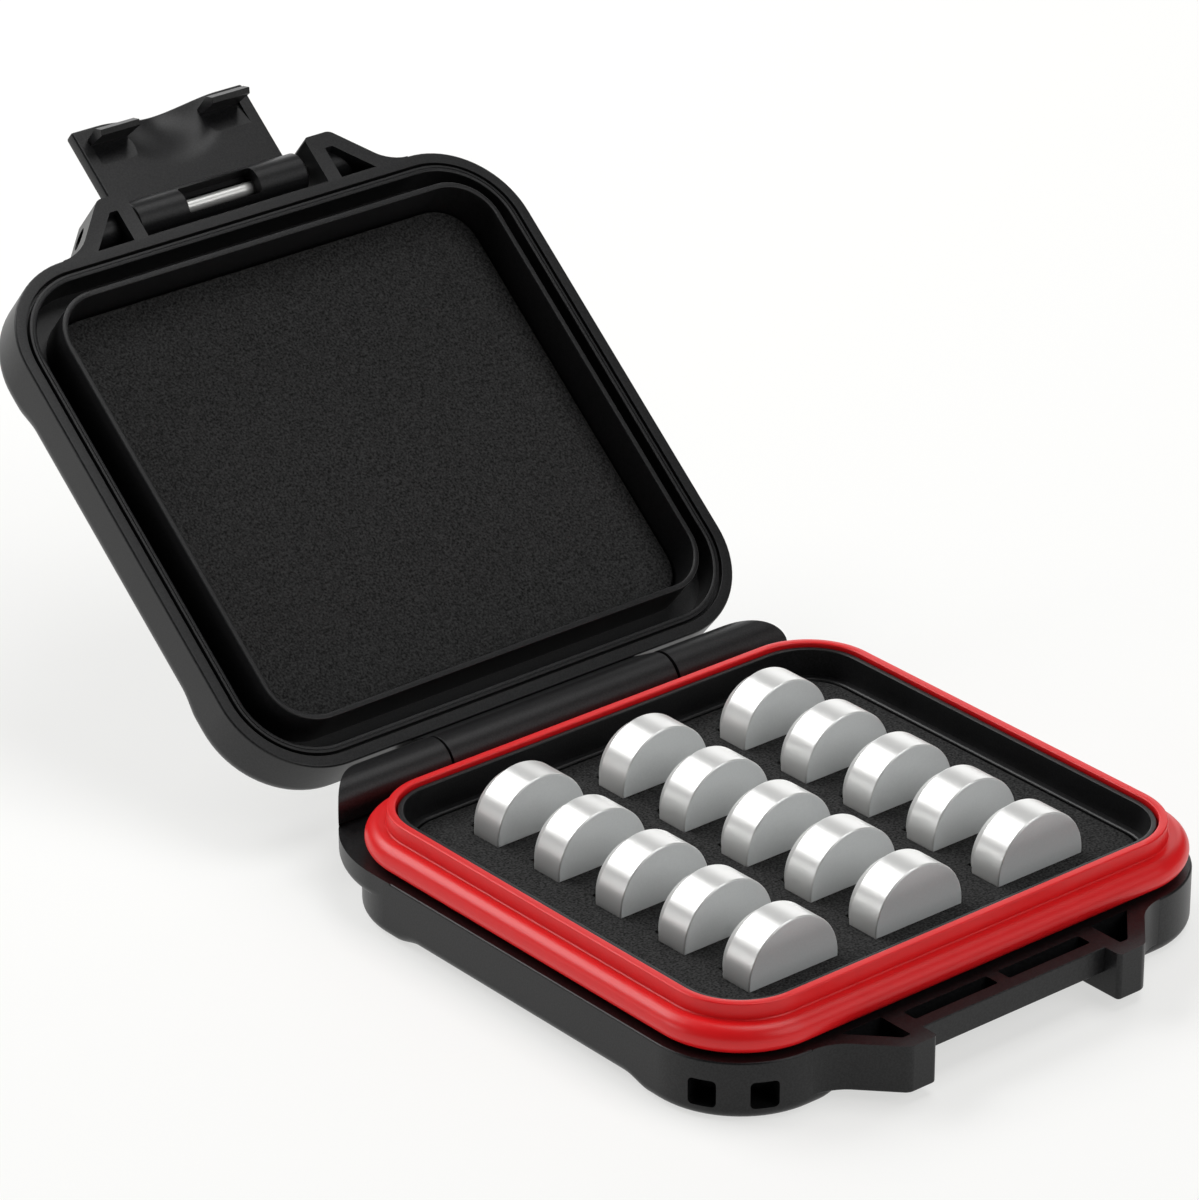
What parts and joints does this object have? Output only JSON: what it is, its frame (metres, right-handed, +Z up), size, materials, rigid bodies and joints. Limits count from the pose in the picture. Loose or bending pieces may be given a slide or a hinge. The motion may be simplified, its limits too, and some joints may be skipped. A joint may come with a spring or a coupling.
{
  "type": "battery case",
  "caption": "Small hinged hard case with a sealed rim, front latch and foam tray that holds button cells on edge, shown open.",
  "frame": {"origin": "centre of the base's flat under panel, between its four corner feet", "axes": "+X along the hinge, +Y from the latch side to the hinge side, +Z up"},
  "size_m": [0.068, 0.143, 0.0576],
  "materials": {
    "black_plastic": "satin",
    "red_silicone": "satin",
    "black_foam": "matte",
    "pin_steel": "polished",
    "cell_steel": "satin"
  },
  "bodies": {
    "case": {"base_shell": "black_plastic", "hinge_pin": "pin_steel", "seal": "red_silicone", "cell_tray": "black_foam"},
    "lid": {"lid_shell": "black_plastic", "lid_pad": "black_foam", "latch_pin": "pin_steel"},
    "latch": {"latch": "black_plastic"},
    "cell_01": {"button_cell_01": "cell_steel"},
    "cell_02": {"button_cell_02": "cell_steel"},
    "cell_03": {"button_cell_03": "cell_steel"},
    "cell_04": {"button_cell_04": "cell_steel"},
    "cell_05": {"button_cell_05": "cell_steel"},
    "cell_06": {"button_cell_06": "cell_steel"},
    "cell_07": {"button_cell_07": "cell_steel"},
    "cell_08": {"button_cell_08": "cell_steel"},
    "cell_09": {"button_cell_09": "cell_steel"},
    "cell_10": {"button_cell_10": "cell_steel"},
    "cell_11": {"button_cell_11": "cell_steel"},
    "cell_12": {"button_cell_12": "cell_steel"},
    "cell_13": {"button_cell_13": "cell_steel"},
    "cell_14": {"button_cell_14": "cell_steel"},
    "cell_15": {"button_cell_15": "cell_steel"}
  },
  "joints": [
    {"name": "lid_hinge", "type": "hinge", "parent": "case", "child": "lid", "pos_m": [0, 0.0357, 0.0072], "axis": [-1, 0, 0], "range_deg": [-140.3, 0]},
    {"name": "latch_hinge", "type": "hinge", "parent": "lid", "child": "latch", "pos_m": [0, 0.09358, 0.04817], "axis": [-1, 0, 0], "range_deg": [-89.8, 0]},
    {"name": "cell_01_lift", "type": "slide", "parent": "case", "child": "cell_01", "axis": [0, 0, 1], "range_m": [0, 0.02]},
    {"name": "cell_02_lift", "type": "slide", "parent": "case", "child": "cell_02", "axis": [0, 0, 1], "range_m": [0, 0.02]},
    {"name": "cell_03_lift", "type": "slide", "parent": "case", "child": "cell_03", "axis": [0, 0, 1], "range_m": [0, 0.02]},
    {"name": "cell_04_lift", "type": "slide", "parent": "case", "child": "cell_04", "axis": [0, 0, 1], "range_m": [0, 0.02]},
    {"name": "cell_05_lift", "type": "slide", "parent": "case", "child": "cell_05", "axis": [0, 0, 1], "range_m": [0, 0.02]},
    {"name": "cell_06_lift", "type": "slide", "parent": "case", "child": "cell_06", "axis": [0, 0, 1], "range_m": [0, 0.02]},
    {"name": "cell_07_lift", "type": "slide", "parent": "case", "child": "cell_07", "axis": [0, 0, 1], "range_m": [0, 0.02]},
    {"name": "cell_08_lift", "type": "slide", "parent": "case", "child": "cell_08", "axis": [0, 0, 1], "range_m": [0, 0.02]},
    {"name": "cell_09_lift", "type": "slide", "parent": "case", "child": "cell_09", "axis": [0, 0, 1], "range_m": [0, 0.02]},
    {"name": "cell_10_lift", "type": "slide", "parent": "case", "child": "cell_10", "axis": [0, 0, 1], "range_m": [0, 0.02]},
    {"name": "cell_11_lift", "type": "slide", "parent": "case", "child": "cell_11", "axis": [0, 0, 1], "range_m": [0, 0.02]},
    {"name": "cell_12_lift", "type": "slide", "parent": "case", "child": "cell_12", "axis": [0, 0, 1], "range_m": [0, 0.02]},
    {"name": "cell_13_lift", "type": "slide", "parent": "case", "child": "cell_13", "axis": [0, 0, 1], "range_m": [0, 0.02]},
    {"name": "cell_14_lift", "type": "slide", "parent": "case", "child": "cell_14", "axis": [0, 0, 1], "range_m": [0, 0.02]},
    {"name": "cell_15_lift", "type": "slide", "parent": "case", "child": "cell_15", "axis": [0, 0, 1], "range_m": [0, 0.02]}
  ]
}
